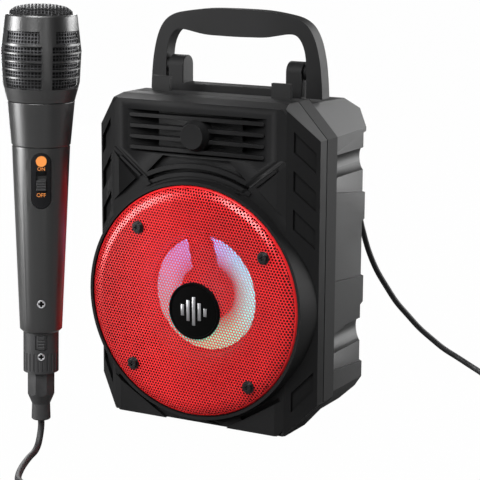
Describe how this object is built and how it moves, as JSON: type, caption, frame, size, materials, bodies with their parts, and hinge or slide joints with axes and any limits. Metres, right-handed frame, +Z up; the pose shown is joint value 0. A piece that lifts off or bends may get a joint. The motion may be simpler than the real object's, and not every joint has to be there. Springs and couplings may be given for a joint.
{
  "type": "portable karaoke speaker",
  "caption": "Small karaoke speaker with a folding handle, a red perforated grille lit from behind, and a wired microphone standing at its side",
  "frame": {"origin": "on the floor under the middle of the case", "axes": "X to the right seen from the front, -Y to the front, Z up; the microphone stands in front at the left"},
  "size_m": [0.2928, 0.366, 0.2671],
  "materials": {
    "black_plastic": "moulded black plastic, satin",
    "shell_plastic": "moulded dark grey plastic",
    "red_paint": "red lacquered perforated sheet",
    "bright_metal": "plated steel",
    "dark_paint": "satin dark grey lacquer",
    "grey_metal": "bare steel",
    "black_rubber": "soft black rubber",
    "paper": "coated paper cone",
    "spider_cloth": "impregnated cloth",
    "copper": "enamelled copper",
    "ferrite": "dark sintered ferrite",
    "circuit_board": "green board lacquer",
    "cell_wrap": "blue cell sleeve",
    "foam": "open foam",
    "mesh_steel": "woven steel mesh",
    "lamp_plastic": "clear lamp plastic",
    "white_plastic": "white plastic"
  },
  "bodies": {
    "root": {"front_shell": "black_plastic", "horn_louvre": "black_plastic", "grille": "red_paint", "grille_screws": "dark_paint", "centre_badge": "black_plastic", "led_holder": "black_plastic", "led_board": "circuit_board", "driver_basket": "dark_paint", "driver_surround": "black_rubber", "driver_spider": "spider_cloth", "driver_magnet": "ferrite", "pole_piece": "grey_metal", "driver_screws": "grey_metal", "rear_shell": "shell_plastic", "case_screws": "grey_metal", "handle_base": "black_plastic", "handle_pins": "grey_metal", "rubber_feet": "black_rubber", "battery": "cell_wrap", "battery_holder": "black_plastic", "main_board": "circuit_board", "rear_panel": "black_plastic", "panel_screws": "grey_metal", "mic_jack": "black_plastic", "aux_jack": "black_plastic", "usb_socket": "grey_metal", "card_slot": "grey_metal", "charge_socket": "grey_metal", "charge_lamp": "lamp_plastic", "mic_head_shell": "dark_paint", "mic_mesh": "mesh_steel", "mic_foam": "foam", "mic_capsule": "grey_metal", "mic_collar": "dark_paint", "mic_handle": "dark_paint", "mic_switch_plate": "black_plastic", "mic_switch_body": "black_plastic", "mic_screws": "bright_metal", "connector_shell": "black_plastic", "connector_ring": "black_plastic", "connector_boot": "black_rubber", "mic_cord": "black_rubber", "cord_coil": "black_rubber", "plug_cord": "black_rubber", "plug_body": "black_rubber", "plug_contact": "bright_metal"},
    "handle": {"handle": "black_plastic"},
    "cone": {"driver_cone": "paper", "dust_cap": "dark_paint", "voice_coil": "copper"},
    "power_switch": {"power_switch": "white_plastic"},
    "mode_button": {"button_mode": "shell_plastic"},
    "previous_button": {"button_previous": "shell_plastic"},
    "play_button": {"button_play": "shell_plastic"},
    "next_button": {"button_next": "shell_plastic"},
    "volume": {"volume_knob": "shell_plastic"},
    "mic_switch": {"mic_switch_slider": "black_plastic"},
    "mic_latch": {"connector_latch": "black_plastic"}
  },
  "joints": [
    {"name": "handle_fold", "type": "hinge", "parent": "root", "child": "handle", "pos_m": [0, 0.009, 0.2215], "axis": [-1, 0, 0], "range_deg": [0, 90]},
    {"name": "cone_travel", "type": "slide", "parent": "root", "child": "cone", "axis": [0, -1, 0], "range_m": [-0.002, 0.002], "stiffness_N_per_m": 700, "deforming": ["driver_surround", "driver_spider"]},
    {"name": "power_slide", "type": "slide", "parent": "root", "child": "power_switch", "axis": [1, 0, 0], "range_m": [0, 0.003]},
    {"name": "mode_press", "type": "slide", "parent": "root", "child": "mode_button", "axis": [0, -1, 0], "range_m": [0, 0.0008], "stiffness_N_per_m": 400},
    {"name": "previous_press", "type": "slide", "parent": "root", "child": "previous_button", "axis": [0, -1, 0], "range_m": [0, 0.0008], "stiffness_N_per_m": 400},
    {"name": "play_press", "type": "slide", "parent": "root", "child": "play_button", "axis": [0, -1, 0], "range_m": [0, 0.0008], "stiffness_N_per_m": 400},
    {"name": "next_press", "type": "slide", "parent": "root", "child": "next_button", "axis": [0, -1, 0], "range_m": [0, 0.0008], "stiffness_N_per_m": 400},
    {"name": "volume_turn", "type": "hinge", "parent": "root", "child": "volume", "pos_m": [-0.028, 0.053, 0.159], "axis": [0, 1, 0], "range_deg": [-150, 150]},
    {"name": "mic_switch_slide", "type": "slide", "parent": "root", "child": "mic_switch", "axis": [0.0137, 0.0098, 0.9999], "range_m": [0, 0.005]},
    {"name": "mic_latch_press", "type": "slide", "parent": "root", "child": "mic_latch", "axis": [-0.5814, 0.8136, 0], "range_m": [0, 0.0012], "stiffness_N_per_m": 400}
  ]
}
